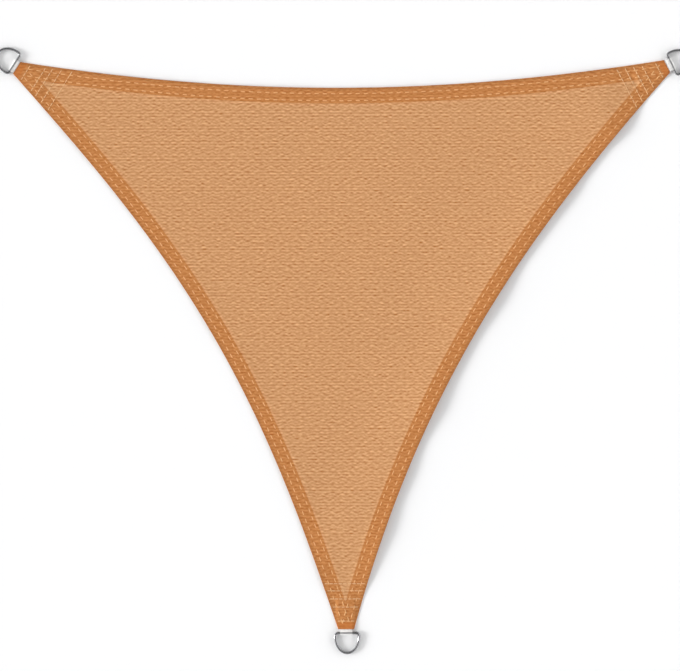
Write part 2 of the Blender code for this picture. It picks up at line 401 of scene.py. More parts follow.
def polished_steel(colours):
    """Round polished wire: faint drawing lines, a little haze, and a darker weld."""
    finish = new_material("steel")
    haze = finish.noise(finish.place(), 120.0, 3.0, 0.6)
    grain = finish.streaks((700.0, 700.0, 90.0), 2.0)
    weld = finish.attribute("weld")
    tone = finish.shaded(colours.steel, 1 + haze * 0.07 - weld * 0.5)
    finish.set(Base_Color=tone, Metallic=1.0, Roughness=haze * 0.04 + 0.11 + weld * 0.25)
    finish.set(Normal=finish.bump(grain + haze, STEEL_RELIEF, 0.5))
    return finish.owner


# -------------------- the flat layout
SPARE = 130 * MM  # how far an edge line is carried on past its ends
STATION = 6.25 * MM  # between the mesh's stations along a side
STRAND = 1.2 * MM  # height kept for each of a webbing loop's two strands
STRAND_APART = 0.62 * MM  # from between the strands to the middle of each
BATCH = 2000  # points set against a line at a time, to save memory


def corner_place(name):
    """Middle of a corner's square end, from the three side lengths."""
    sizes = bpy.context.scene.sail_sizes
    top = sizes.top_side
    if name == "lower":
        x = (sizes.left_side ** 2 - sizes.right_side ** 2) / (2 * top)
        return np.array((x, -math.sqrt(sizes.left_side ** 2 - (x + top / 2) ** 2)))
    return np.array((-top / 2 if name == "left" else top / 2, 0.0))


def heading_of(angle):
    return np.array((math.cos(angle), math.sin(angle)))


def from_end(name, heading, inward, across):
    """A place so far into the cloth from the middle of a square end, and so far across."""
    out, side = heading_of(heading), heading_of(heading + math.pi / 2)
    return corner_place(name) - out * inward + side * across


def end_points(name):
    """The two corners of a square end, in the order in which the edge meets them."""
    corner = CORNERS[name]
    return [from_end(name, corner.heading, 0, half) for half in (-corner.width / 2, corner.width / 2)]


def edge_line(side):
    """Places along a side of the cloth and its inward normals, from corner to corner."""
    start = end_points(side.first)[1]
    chord = end_points(side.last)[0] - start
    reach = np.linalg.norm(chord)
    along = chord / reach
    inward = np.array((-along[1], along[0]))
    steps = round(reach / STATION)
    t = np.linspace(-1, 1, steps + 1)[:, None]
    bulge = side.sag + side.skew * t + side.shoulder * t * t
    drawn_in = (1 - t * t) * bulge
    rise = 2 * (1 - t * t) * (side.skew + 2 * side.shoulder * t) - 4 * t * bulge
    tangents = along + inward * rise / reach
    tangents /= np.linalg.norm(tangents, axis=1)[:, None]
    normals = np.stack((-tangents[:, 1], tangents[:, 0]), 1)
    return start + chord * (t + 1) / 2 + inward * drawn_in, tangents, normals


def carried_on(places, tangents, normals):
    """An edge line with straight stretches added at both ends."""
    spare = np.arange(STATION, SPARE, STATION)[:, None]
    before = places[0] - tangents[0] * spare[::-1]
    after = places[-1] + tangents[-1] * spare
    count = len(spare)
    places = np.concatenate((before, places, after))
    normals = np.concatenate((normals[:1].repeat(count, 0), normals, normals[-1:].repeat(count, 0)))
    return places, normals


def nearest_on(line, points):
    """Distance of each point to the left of a line of places, and how far along the line."""
    steps = np.diff(line, axis=0)
    sizes = np.linalg.norm(steps, axis=1)
    travelled = np.concatenate(((0,), np.cumsum(sizes)[:-1]))
    gaps = np.empty(len(points))
    along = np.empty(len(points))
    for batch in np.array_split(np.arange(len(points)), len(points) // BATCH + 1):
        offset = points[batch, None] - line[None, :-1]
        share = np.clip((offset * steps).sum(-1) / sizes ** 2, 0, 1)
        gap = np.linalg.norm(offset - share[..., None] * steps, axis=-1)
        pick = gap.argmin(1)
        rows = np.arange(len(batch))
        left = steps[pick, 0] * offset[rows, pick, 1] - steps[pick, 1] * offset[rows, pick, 0]
        gaps[batch] = np.where(left < 0, -gap[rows, pick], gap[rows, pick])
        along[batch] = travelled[pick] + share[rows, pick] * sizes[pick]
    return gaps, along


def smooth(value):
    value = np.clip(value, 0, 1)
    return value * value * (3 - 2 * value)


class Lay:
    """How the cloth lies: its edge lines, and its heights at any place."""
    FOLD_OVER = 1.0 * MM  # over which the underside steps up at the hem's cut edge
    SETTLE = 26 * MM  # over which the face comes down inside that edge
    COVER_SPARE = 2 * MM  # cloth over the tails, wider and longer than they are
    COVER_SLOPE = 14 * MM
    PINCH = 0.4 * MM  # how far a row of stitches draws the cloth in
    PINCH_REACH = 3 * MM  # and how far beside the row that shows
    RIPPLE = 0.9 * MM  # height of the faint ripples
    RIPPLES = 9
    RIPPLE_LENGTHS = (0.16, 0.55)
    RISE = (1.4 * MM, 0.8 * MM, 9.5 * MM)  # how far each side's edge stands off the floor
    RISE_REACH = 0.26  # and how far in from the edge the cloth comes down
    FLAT_CORNER = 0.10  # the cloth lies flat within this of a corner
    FREE_CORNER = 0.26  # and as loose as elsewhere beyond this

    def __init__(self, sizes):
        self.sizes = sizes
        ends = np.array([point for name in CORNERS for point in end_points(name)])
        low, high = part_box("sail")
        self.shift = np.array((low.x - ends[:, 0].min(), high.y - ends[:, 1].max()))
        sides = [edge_line(side) for side in SIDES]
        self.outline = np.concatenate([places for places, *_ in sides])
        self.long_edges = [carried_on(*line) for line in sides]
        self.slot_height = 2 * STRAND + 2 * sizes.clearance
        self.corner_height = 2 * sizes.layer + self.slot_height
        chance = np.random.default_rng(7)
        self.ripples = [
            (TAU / chance.uniform(*self.RIPPLE_LENGTHS), chance.uniform(0, math.pi),
             chance.uniform(0, TAU))
            for _ in range(self.RIPPLES)
        ]

    def depths(self, points):
        """Depth from each side and place along it, a row for each side."""
        found = [nearest_on(places, points) for places, _ in self.long_edges]
        return np.array([gap for gap, _ in found]), np.array([along for _, along in found])

    def in_corner(self, name, heading, points):
        """How far into the cloth from a square end, and how far across."""
        offset = points - corner_place(name)
        return -offset @ heading_of(heading), offset @ heading_of(heading + math.pi / 2)

    def past_cover(self, name, points):
        """Distance outside the patch of cloth that lies over the webbing tails."""
        inward, across = self.in_corner(name, CORNERS[name].ring_heading, points)
        half = self.sizes.web_width / 2 + self.COVER_SPARE
        deep = self.sizes.tail + self.COVER_SPARE
        return np.hypot(np.maximum(np.abs(across) - half, 0), np.maximum(inward - deep, 0))

    def lift(self, points, depths):
        """Unevenness of cloth that lies loose: faint ripples, and edges that stand up a little."""
        total = sum(
            np.sin(points @ heading_of(turn) * rate + phase) for rate, turn, phase in self.ripples)
        uneven = np.clip(0.5 + total / 6, 0, 1)
        gaps = [np.linalg.norm(points - corner_place(name), axis=1) for name in CORNERS]
        away = (np.min(gaps, axis=0) - self.FLAT_CORNER) / (self.FREE_CORNER - self.FLAT_CORNER)
        risen = sum(
            rise * (1 - smooth(depth / self.RISE_REACH)) for rise, depth in zip(self.RISE, depths))
        return smooth(away) * (self.RIPPLE * uneven + risen * (0.7 + 0.6 * uneven))

    def surfaces(self, points):
        """Heights of the underside and of the face."""
        depths, along = self.depths(points)
        side = depths.argmin(0)
        depth = depths.min(0)
        along = along[side, np.arange(len(points))]
        layer = self.sizes.layer
        doubled = 1 - smooth((depth - self.sizes.hem) / self.FOLD_OVER + 0.5)
        thick = layer * (1 + doubled)
        top = layer * (2 - smooth((depth - self.sizes.hem) / self.SETTLE))
        for name in CORNERS:
            raised = 1 - smooth(self.past_cover(name, points) / self.COVER_SLOPE)
            thick += (self.corner_height - thick) * raised
            top += (self.corner_height - top) * raised
        half = thick / 2
        round_in = np.clip(1 - depth / half, 0, 1)
        bulge = half * np.sqrt(1 - round_in ** 2)
        middle = self.lift(points, depths) + top - half
        pinch = sum(
            np.exp(-((depth - row) / self.PINCH_REACH) ** 2)
            for row in (self.sizes.outer_row, self.sizes.inner_row))
        pull = 0.6 + 0.4 * np.cos(TAU * along / self.sizes.stitch_pitch)
        pinch = pinch * pull * self.PINCH * (thick < 3 * layer)
        return middle - bulge, middle + bulge - pinch


LAY = None


# -------------------- shared making
SLIVER = 0.01 * MM  # edges shorter than this are closed up


def deselect():
    bpy.ops.object.select_all(action="DESELECT")


def only(piece):
    """Make a piece the one that operators act on."""
    deselect()
    piece.select_set(True)
    bpy.context.view_layer.objects.active = piece


def applied(piece, kind, **settings):
    """Finish a piece with a modifier and apply it."""
    only(piece)
    modifier = piece.modifiers.new(kind.title(), kind)
    for name, value in settings.items():
        setattr(modifier, name, value)
    bpy.ops.object.modifier_apply(modifier=modifier.name)


@contextmanager
def editing():
    """Edit mode, with everything selected at its start."""
    bpy.ops.object.mode_set(mode="EDIT")
    bpy.ops.mesh.select_all(action="SELECT")
    yield
    bpy.ops.object.mode_set(mode="OBJECT")


def new_piece(name, mesh):
    """A piece in the scene, from its mesh."""
    piece = bpy.data.objects.new(name, mesh)
    bpy.context.collection.objects.link(piece)
    return piece


def settle(piece, material):
    """Give a piece its finish, and let it ride on the frame."""
    piece.data.materials.clear()
    piece.data.materials.append(material)
    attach(piece, "root")


Station = namedtuple("Station", "place turn swell")


def draw_out(stations, axis):
    """Extrude the selected section from station to station, turned and swollen at each."""
    for before, station in zip(stations, stations[1:]):
        move = station.place - before.place
        bpy.ops.mesh.extrude_region_move(TRANSFORM_OT_translate={"value": move})
        # without a window this operator turns the other way, so the angle is negative
        bpy.ops.transform.rotate(
            value=before.turn - station.turn, orient_axis=axis, center_override=station.place)
        ratio = station.swell / before.swell
        bpy.ops.transform.resize(value=(ratio, ratio, ratio), center_override=station.place)


def drawn_round(stations, axis, sides, radius, rotation, fill="NOTHING"):
    """A round section, added at the first station and extruded through the others."""
    first = stations[0]
    deselect()
    bpy.ops.mesh.primitive_circle_add(
        vertices=sides, radius=radius * first.swell, fill_type=fill, location=first.place,
        rotation=rotation)
    bpy.ops.object.transform_apply()
    with editing():
        draw_out(stations, axis)
    return bpy.context.object


def corner_matrix(name, heading):
    """Out of the corner along X, with the middle of the square end at the origin."""
    place = Vector((*corner_place(name) + LAY.shift, 0))
    return Matrix.Translation(place) @ Matrix.Rotation(heading, 4, "Z")


def add_uv(mesh, name, values):
    """A UV map, from two values for every corner of every face."""
    mesh.uv_layers.new(name=name).data.foreach_set("uv", values.ravel())


def add_vertex_uv(mesh, name, first, second):
    """A UV map with the same two values at every corner of a vertex."""
    corners = np.empty(len(mesh.loops), int)
    mesh.loops.foreach_get("vertex_index", corners)
    add_uv(mesh, name, np.column_stack((first, second))[corners])


def add_mark(mesh, name, values):
    """A value for each vertex, which a finish can read."""
    mesh.attributes.new(name, "FLOAT", "POINT").data.foreach_set("value", values)


def places_of(mesh):
    flat = np.empty(len(mesh.vertices) * 3)
    mesh.vertices.foreach_get("co", flat)
    return flat.reshape(-1, 3)


# -------------------- cloth
NOSE_ROWS = (0.1, 0.4, 1.0, 2.2)  # depths of the mesh's rows round the fold, in layers of cloth
EDGE_ROWS = (8 * MM, 14 * MM)  # of those between the fold and the stitches
MIDDLE_ROW = 29 * MM  # of the one between the two rows of stitches
HEM_ROW = -2 * MM  # and of those beside the hem's cut edge, from that edge
SETTLE_ROWS = (7 * MM, 15 * MM)
HALVINGS = 24  # steps in finding a mitre
COVER_OUT = 5 * MM  # how far the cover's lines run past the square end
INSIDE_STEP = 16 * MM  # between the points inside the hem
INSIDE_ROW = 0.866  # between their rows, as a share of that
INSIDE_START = 20 * MM  # from the hem's cut edge to the first of them
MERGED = 1e-7  # points nearer than this become one
CLOSED = 0.02 * MM  # the face and the underside join where they are this near
UNDERSIDE = -0.3  # a face whose normal has less than this upwards is on the underside
SHARP = math.radians(50)  # edges that bend by more than this are drawn sharp
CUTTER_OUT = 20 * MM  # how far the slots' cutters stand out of the square ends


def row_depths(sizes):
    """Depths of the mesh's rows: close at the fold, at each stitch row and at the hem's step."""
    rows = [sizes.layer * share for share in NOSE_ROWS] + list(EDGE_ROWS)
    for row in (sizes.outer_row, sizes.inner_row):
        rows += [row - Lay.PINCH_REACH, row, row + Lay.PINCH_REACH]
    rows += [MIDDLE_ROW, sizes.hem + HEM_ROW]
    rows += [sizes.hem + offset * Lay.FOLD_OVER for offset in (-0.5, 0, 0.5)]
    return rows + [sizes.hem + offset for offset in SETTLE_ROWS]


def mitred_row(number, depth):
    """A line at one depth from a side, ended where the neighbouring side is as near."""
    places, normals = LAY.long_edges[number]
    line = places + normals * depth

    def own(points):
        depths, _ = LAY.depths(points)
        rest = np.delete(depths, number, 0).min(0)
        return rest >= depth

    crossed = np.flatnonzero(~own(line))
    middle = len(line) // 2
    first = crossed[crossed < middle][-1] + 1
    last = crossed[crossed > middle][0] - 1
    ends = []
    for inner, outer in ((first, first - 1), (last, last + 1)):
        good, bad = line[inner], line[outer]
        for _ in range(HALVINGS):
            halfway = (good + bad) / 2
            if own(halfway[None])[0]:
                good = halfway
            else:
                bad = halfway
        ends.append(good)
    return np.concatenate((ends[:1], line[first:last + 1], ends[1:]))


def cover_lines(name):
    """Lines round the patch over the webbing tails, at the top, middle and foot of its slope."""
    half = LAY.sizes.web_width / 2 + Lay.COVER_SPARE
    deep = LAY.sizes.tail + Lay.COVER_SPARE
    heading = CORNERS[name].ring_heading
    lines = []
    for share in (0, 0.5, 1):
        spread = Lay.COVER_SLOPE * share
        bends = [(-COVER_OUT, -half - spread), (deep + spread, -half - spread)]
        bends += [(deep + spread, half + spread), (-COVER_OUT, half + spread)]
        line = []
        for (i, a), (j, b) in zip(bends, bends[1:]):
            count = max(2, round(math.hypot(j - i, b - a) / STATION))
            line += [(i + (j - i) * s / count, a + (b - a) * s / count) for s in range(count)]
        line.append(bends[-1])
        lines.append(np.array([from_end(name, heading, i, a) for i, a in line]))
    return lines


def inside_points(sizes):
    """A staggered grid of points in the single layer."""
    corners = np.array([corner_place(name) for name in CORNERS])
    low, high = corners.min(0), corners.max(0)
    points = []
    rows = np.arange(low[1], high[1], INSIDE_STEP * INSIDE_ROW)
    for count, y in enumerate(rows):
        x = np.arange(low[0] + (count % 2) * INSIDE_STEP / 2, high[0], INSIDE_STEP)
        points.append(np.stack((x, np.full(len(x), y)), 1))
    points = np.concatenate(points)
    depth = LAY.depths(points)[0].min(0)
    return points[in_outline(points) & (depth > sizes.hem + INSIDE_START)]


def in_outline(points):
    """Whether each point is inside the cloth's edge, by counting crossings of a ray along X."""
    inside = np.zeros(len(points), bool)
    for (ax, ay), (bx, by) in zip(LAY.outline, np.roll(LAY.outline, -1, 0)):
        if ay != by:
            crosses = (points[:, 1] > ay) != (points[:, 1] > by)
            inside ^= crosses & (points[:, 0] < ax + (points[:, 1] - ay) / (by - ay) * (bx - ax))
    return inside


def flat_mesh(sizes):
    """Triangles over the cloth's outline, with edges along its rows."""
    lines = [mitred_row(number, depth) for number in range(3) for depth in row_depths(sizes)]
    lines += [line for name in CORNERS for line in cover_lines(name)]
    points = [LAY.outline]
    edges = []
    count = len(LAY.outline)
    for line in lines:
        points.append(line)
        edges += [(i, i + 1) for i in range(count, count + len(line) - 1)]
        count += len(line)
    points.append(inside_points(sizes))
    points = [Vector(point) for point in np.concatenate(points)]
    face = [list(range(len(LAY.outline)))]
    flat, _, triangles, *_ = delaunay_2d_cdt(points, edges, face, 1, MERGED)
    flat, triangles = np.array(flat), np.array(triangles)
    return flat, triangles[in_outline(flat[triangles].mean(1))]


def rim_edges(triangles):
    """Edges that belong to one triangle, in that triangle's direction."""
    pairs = np.concatenate([triangles[:, (i, (i + 1) % 3)] for i in range(3)])
    pairs = dict.fromkeys(map(tuple, pairs.tolist()))
    return [(a, b) for a, b in pairs if (b, a) not in pairs]


def cloth_mesh(sizes):
    """The face, the underside and the square ends as one closed mesh."""
    flat, triangles = flat_mesh(sizes)
    low, high = LAY.surfaces(flat)
    world = flat + LAY.shift
    shared = high - low < CLOSED
    count = len(flat)
    below = np.arange(count, 2 * count)
    below[shared] = np.flatnonzero(shared)
    places = np.concatenate((np.column_stack((world, high)), np.column_stack((world, low))))
    faces = triangles.tolist() + below[triangles[:, ::-1]].tolist()
    for a, b in rim_edges(triangles):
        wall = [a, below[a], below[b], b]
        wall = [corner for i, corner in enumerate(wall) if corner not in wall[:i]]
        if len(wall) > 2:
            faces.append(wall)
    used = np.zeros(2 * count, bool)
    used[[corner for face in faces for corner in face]] = True
    index = np.cumsum(used) - 1
    faces = [[int(index[corner]) for corner in face] for face in faces]
    mesh = bpy.data.meshes.new("sail_cloth")
    mesh.from_pydata(places[used].tolist(), [], faces)
    mesh.update()
    return mesh


def cloth_uv(mesh):
    """Two maps: along the nearest side and depth from it, and inward and across from the nearest
    square end. The depth is negative on the underside."""
    places = places_of(mesh)[:, :2] - LAY.shift
    depths, along = LAY.depths(places)
    found = [LAY.in_corner(name, CORNERS[name].heading, places) for name in CORNERS]
    inward, across = np.array(found).transpose(1, 0, 2)
    hem = np.empty((len(mesh.loops), 2))
    corner = np.empty((len(mesh.loops), 2))
    for face in mesh.polygons:
        own = list(face.vertices)
        side = int(depths[:, own].mean(1).argmin())
        end = int(inward[:, own].mean(1).argmin())
        sign = -1 if face.normal.z < UNDERSIDE else 1
        span = slice(face.loop_start, face.loop_start + face.loop_total)
        hem[span, 0] = along[side, own]
        hem[span, 1] = depths[side, own] * sign
        corner[span, 0] = inward[end, own]
        corner[span, 1] = across[end, own]
    add_uv(mesh, "Hem", hem)
    add_uv(mesh, "Corner", corner)


def cut_tail_slots(cloth, sizes):
    """Open a slot between the layers of each corner for the webbing's tails."""
    deselect()
    cutters = []
    deep = sizes.tail + sizes.clearance
    for name in CORNERS:
        matrix = corner_matrix(name, CORNERS[name].ring_heading)
        middle = matrix @ Vector(((CUTTER_OUT - deep) / 2, 0, sizes.layer + LAY.slot_height / 2))
        scale = (deep + CUTTER_OUT, sizes.web_width + 2 * sizes.clearance, LAY.slot_height)
        bpy.ops.mesh.primitive_cube_add(
            size=1, location=middle, rotation=(0, 0, CORNERS[name].ring_heading), scale=scale)
        cutters.append(bpy.context.object)
    for cutter in cutters:
        cutter.select_set(True)
    bpy.ops.object.join()
    cutter = bpy.context.object
    applied(cloth, "BOOLEAN", operation="DIFFERENCE", object=cutter)
    bpy.data.objects.remove(cutter)
    only(cloth)
    with editing():
        bpy.ops.mesh.dissolve_degenerate(threshold=SLIVER)


def cut_size(sizes):
    """Width, length and area of the cloth as it is cut, with what the hem takes."""
    low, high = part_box("sail")
    after = np.roll(LAY.outline, -1, 0)
    area = abs((LAY.outline[:, 0] * after[:, 1] - LAY.outline[:, 1] * after[:, 0]).sum()) / 2
    edge = sum(
        np.linalg.norm(np.diff(edge_line(side)[0], axis=0), axis=1).sum() for side in SIDES)
    return (high.x - low.x + 2 * sizes.hem, high.y - low.y + 2 * sizes.hem), area + edge * sizes.hem


class SAIL_OT_cloth(bpy.types.Operator):
    """Lay out the knitted cloth with its folded hem and built-up corners"""
    bl_idname = "shade_sail.cloth"
    bl_label = "Cloth"

    def execute(self, context):
        sizes = context.scene.sail_sizes
        cloth = new_piece("sail_cloth", cloth_mesh(sizes))
        cut_tail_slots(cloth, sizes)
        cloth_uv(cloth.data)
        cloth.data.shade_smooth()
        cloth.data.set_sharp_from_angle(angle=SHARP)
        settle(cloth, knit(sizes, context.scene.sail_colours))
        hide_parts("sail")
        return {"FINISHED"}


# -------------------- stitches
STITCH_SIDES = 8
STITCH_STEPS = 8
STITCH_RISE = 0.85 * MM  # how far a stitch's middle stands above its ends
STITCH_BED = 0.5 * MM  # how deep its ends lie in the cloth
STITCH_RADIUS = 0.55 * MM  # half the height of the flattened thread
CORNER_LIFT = 0.35 * MM  # the corner rows are sewn last, over the hem rows
CORNER_SHOWS = 0.78  # share of a corner stitch's pitch that shows
ROW_SEARCH = 120 * MM  # how far across a corner row's ends are looked for
HEM_ROWS_END = 4 * MM  # the hem's rows run past the first corner row by this
SKEW = 0.05  # how far a stitch may lean out of its row, as a slope
UNEVEN = 0.1  # share by which its width may vary
BOTH_ENDS = np.array((-0.5, 0.5))


def stitch_model(sizes):
    """One stitch along X: a thread that comes up, lies flat and goes down again."""
    reach = sizes.stitch_length / 2
    stations = []
    for step in range(STITCH_STEPS + 1):
        share = 2 * step / STITCH_STEPS - 1
        place = Vector((share * reach, 0, STITCH_RISE * (1 - share ** 4) - STITCH_BED))
        stations.append(Station(place, 0.0, 0.7 + 0.3 * (1 - share ** 4)))
    upright = (0, math.pi / 2, 0)
    stitch = drawn_round(stations, "Y", STITCH_SIDES, STITCH_RADIUS, upright, "NGON")
    flat = sizes.thread / 2 / STITCH_RADIUS
    with editing():
        bpy.ops.transform.resize(value=(1, flat, 1), center_override=(0, 0, 0))
        bpy.ops.mesh.normals_make_consistent()
    places = places_of(stitch.data)
    turn = np.arctan2(places[:, 2], places[:, 1] / flat) / TAU
    add_vertex_uv(stitch.data, "Twist", places[:, 0], turn)
    return stitch


def hem_stitches(sizes):
    """Ends of every hem stitch, in both rows along the three sides."""
    stitches = []
    for places, normals in LAY.long_edges:
        for row in (sizes.outer_row, sizes.inner_row):
            line = places + normals * row
            travelled = nearest_on(places, line)[1]
            count = int(travelled[-1] / sizes.stitch_pitch)
            for number in range(count):
                middle = (number + 0.5) * sizes.stitch_pitch
                ends = middle + BOTH_ENDS * sizes.stitch_length
                stitches.append(
                    np.column_stack([np.interp(ends, travelled, way) for way in line.T]))
    stitches = np.array(stitches)
    middles = stitches.mean(1)
    fits = in_outline(middles)
    for name in CORNERS:
        inward, _ = LAY.in_corner(name, CORNERS[name].heading, middles)
        fits &= inward > CORNER_ROWS[name].first * MM - HEM_ROWS_END
    return stitches[fits]


def corner_stitches(sizes):
    """Ends of the stitches in the rows that run across each corner."""
    stitches = []
    steps = np.arange(-ROW_SEARCH, ROW_SEARCH, MM)
    for name, corner in CORNERS.items():
        for row in CORNER_ROWS[name]:
            line = from_end(name, corner.heading, row * MM, steps[:, None])
            depth = LAY.depths(line)[0].min(0)
            fits = steps[in_outline(line) & (depth > ROW_INSET)]
            span = fits[-1] - fits[0]
            count = max(2, round(span / sizes.corner_pitch))
            pitch = span / count
            for number in range(count):
                middle = fits[0] + (number + 0.5) * pitch
                ends = middle + BOTH_ENDS * pitch * CORNER_SHOWS
                stitches.append(from_end(name, corner.heading, row * MM, ends[:, None]))
    return np.array(stitches)


def sewn(name, stitches, sizes, broad=1.0, lift=0.0):
    """Copies of the stitch from end to end of each place, as one mesh lying on the cloth."""
    model = stitch_model(sizes)
    heights = LAY.surfaces(stitches.reshape(-1, 2))[1].reshape(-1, 2)
    chance = np.random.default_rng(11)
    own = places_of(model.data)
    turn = np.empty(len(model.data.loops) * 2)
    model.data.uv_layers["Twist"].data.foreach_get("uv", turn)
    faces = [np.array(face.vertices) for face in model.data.polygons]
    bpy.data.objects.remove(model)
    places, all_faces = [], []
    for number, (ends, height) in enumerate(zip(stitches, heights)):
        start, end = np.column_stack((ends + LAY.shift, height + lift))
        run = end - start
        reach = np.linalg.norm(run)
        along = run / reach
        across = np.cross((0, 0, 1), along)
        across /= np.linalg.norm(across)
        along = along + across * chance.uniform(-SKEW, SKEW)
        up = np.cross(along, across)
        width = across * broad * chance.uniform(1 - UNEVEN, 1 + UNEVEN)
        axes = np.array((along * reach / sizes.stitch_length, width, up))
        places.append(own @ axes + (start + end) / 2)
        all_faces += [(face + number * len(own)).tolist() for face in faces]
    mesh = bpy.data.meshes.new(name)
    mesh.from_pydata(np.concatenate(places).tolist(), [], all_faces)
    add_uv(mesh, "Twist", np.tile(turn, len(stitches)))
    mesh.shade_smooth()
    return new_piece(name, mesh)


class SAIL_OT_hem_stitches(bpy.types.Operator):
    """Sew the two rows of stitches along each hem"""
    bl_idname = "shade_sail.hem_stitches"
    bl_label = "Hem stitches"

    def execute(self, context):
        sizes = context.scene.sail_sizes
        piece = sewn("hem_stitches", hem_stitches(sizes), sizes)
        settle(piece, thread("hem_thread", context.scene.sail_colours.thread))
        return {"FINISHED"}


class SAIL_OT_corner_stitches(bpy.types.Operator):
    """Sew the rows that hold the webbing across each corner"""
    bl_idname = "shade_sail.corner_stitches"
    bl_label = "Corner stitches"

    def execute(self, context):
        sizes = context.scene.sail_sizes
        stitches = corner_stitches(sizes)
        piece = sewn("corner_stitches", stitches, sizes, CORNER_THREAD, CORNER_LIFT)
        settle(piece, thread("corner_thread", context.scene.sail_colours.pale_thread))
        flat, area = cut_size(sizes)
        return {"FINISHED"}


# -------------------- webbing loops
TURN_STEPS = 22  # straight pieces in the turn round the bar
MOUTH = 1 * MM  # past the square end, where the two tails part
TAIL_FREE = -6 * MM  # inside it, where they start to give
WEB_ROUND = 0.3 * MM  # rounding of the webbing's edges
GREY_HALF_WIDTH = 2.6 * MM  # half the width of the grey line painted over the bar


def bar_height(sizes):
    """Middle of a ring's bar, which lies on the lower strand of its loop."""
    return STRAND + sizes.clearance + sizes.wire


def touching_angle(bar, radius, start, side):
    """Where a line from a start point touches the round: under it for -1, over it for 1."""
    run, climb = bar[0] - start[0], bar[1] - start[1]
    return math.atan2(climb, run) + side * (math.pi / 2 + math.asin(radius / math.hypot(run, climb)))


def loop_path(sizes, reach):
    """(out, height) places along the middle of the webbing, from one tail's end to the other's."""
    middle = sizes.layer + sizes.clearance + STRAND
    low, high = middle - STRAND_APART, middle + STRAND_APART
    radius = sizes.wire + sizes.clearance + sizes.web_thick / 2
    bar = (reach, bar_height(sizes))
    first = touching_angle(bar, radius, (MOUTH, low), -1)
    last = touching_angle(bar, radius, (MOUTH, high), 1)
    tail = (-sizes.tail, -sizes.tail / 2, TAIL_FREE, MOUTH)
    path = [(out, low) for out in tail]
    for step in range(TURN_STEPS + 1):
        angle = first + (last - first) * step / TURN_STEPS
        path.append((bar[0] + radius * math.cos(angle), bar[1] + radius * math.sin(angle)))
    return path + [(out, high) for out in reversed(tail)]


def make_loop(name, sizes, material):
    """A strip of webbing extruded along its way round the bar, then thickened."""
    reach = CORNERS[name].reach
    path = loop_path(sizes, reach)
    stations = [Station(Vector((out, 0, height)), 0.0, 1.0) for out, height in path]
    deselect()
    bpy.ops.mesh.primitive_plane_add(size=sizes.web_width, location=stations[0].place)
    loop = bpy.context.object
    loop.name = "webbing_" + name
    loop.data.name = loop.name
    bpy.ops.object.transform_apply()
    with editing():
        bpy.ops.transform.resize(value=(0, 1, 1), center_override=stations[0].place)
        bpy.ops.mesh.remove_doubles(threshold=SLIVER)
        bpy.ops.mesh.select_all(action="SELECT")
        draw_out(stations, "Y")
    places = places_of(loop.data)
    along = nearest_on(np.array(path), places[:, (0, 2)])[1]
    add_vertex_uv(loop.data, "Weave", places[:, 1], along)
    applied(loop, "SOLIDIFY", thickness=sizes.web_thick, offset=0.0)
    applied(loop, "BEVEL", width=WEB_ROUND, segments=2, limit_method="ANGLE")
    places = places_of(loop.data)
    # the grey line is painted on the top of the webbing's turn, over the bar
    over = np.abs(places[:, 0] - reach) / GREY_HALF_WIDTH
    grey_over_bar = (1 - smooth(over - 0.5)) * (places[:, 2] > bar_height(sizes))
    add_mark(loop.data, "grey_over_bar", grey_over_bar)
    loop.data.transform(corner_matrix(name, CORNERS[name].ring_heading))
    loop.data.shade_smooth()
    settle(loop, material)
    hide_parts("loop_" + name)


class SAIL_OT_webbing(bpy.types.Operator):
    """Fold a webbing loop round each ring's bar, with its tails in the corner"""
    bl_idname = "shade_sail.webbing"
    bl_label = "Webbing loops"

    def execute(self, context):
        sizes = context.scene.sail_sizes
        material = woven(sizes, context.scene.sail_colours)
        for name in CORNERS:
            make_loop(name, sizes, material)
        return {"FINISHED"}


# -------------------- D-rings
BOW_START = math.radians(-6)  # where the bow leaves the bent corner
BOW_STEPS = 54
BEND_STEPS = 9
BAR_STEPS = 8
WIRE_SIDES = 20
WELD_SWELL = 0.13  # how much thicker the wire is at its weld
WELD_REACH = 5 * MM
WELD_STAIN = 1.3  # how much farther than the swell its dull finish reaches
WELD_UP = 0.25  # how far it stands from the bend's start, as a share of the bend's radius


def on_bow(angle, sizes):
    """A place on the middle of the bow's wire, and the direction out of the ring there."""
    place = Vector((
        sizes.bar_to_widest + sizes.bow_depth * math.sin(angle),
        sizes.bow_half_width * math.cos(angle), 0))
    out = Vector((math.sin(angle) / sizes.bow_depth, math.cos(angle) / sizes.bow_half_width, 0))
    return place, out.normalized()


def bend_on_y(sizes):
    """Middle and radius of the bend from bar to bow on +Y, and the angle at which it ends."""
    start, lean = on_bow(BOW_START, sizes)
    radius = start.x / (1 + lean.x)
    return start - lean * radius, radius, math.atan2(lean.y, lean.x)


def ring_path(sizes):
    """Places and outward angles along the middle of the wire, bar at x = 0, bow to +X."""
    centre, bend, first = bend_on_y(sizes)
    path = []
    for step in range(BOW_STEPS + 1):
        place, out = on_bow(BOW_START + (math.pi - 2 * BOW_START) * step / BOW_STEPS, sizes)
        path.append((place, math.atan2(out.y, out.x)))
    for step in range(1, BEND_STEPS + 1):
        angle = -first - (math.pi - first) * step / BEND_STEPS
        path.append((Vector((centre.x, -centre.y, 0)) + bend_arm(angle, bend), angle))
    for step in range(1, BAR_STEPS):
        path.append((Vector((0, centre.y * (2 * step / BAR_STEPS - 1), 0)), -math.pi))
    for step in range(BEND_STEPS):
        angle = -math.pi - (math.pi - first) * step / BEND_STEPS
        path.append((centre + bend_arm(angle, bend), angle))
    return path


def bend_arm(angle, bend):
    return Vector((math.cos(angle), math.sin(angle), 0)) * bend


def weld_place(sizes):
    """The wire's ends meet where the bar runs into the bend on +Y."""
    centre, bend, _ = bend_on_y(sizes)
    return Vector((0, centre.y + bend * WELD_UP, 0))


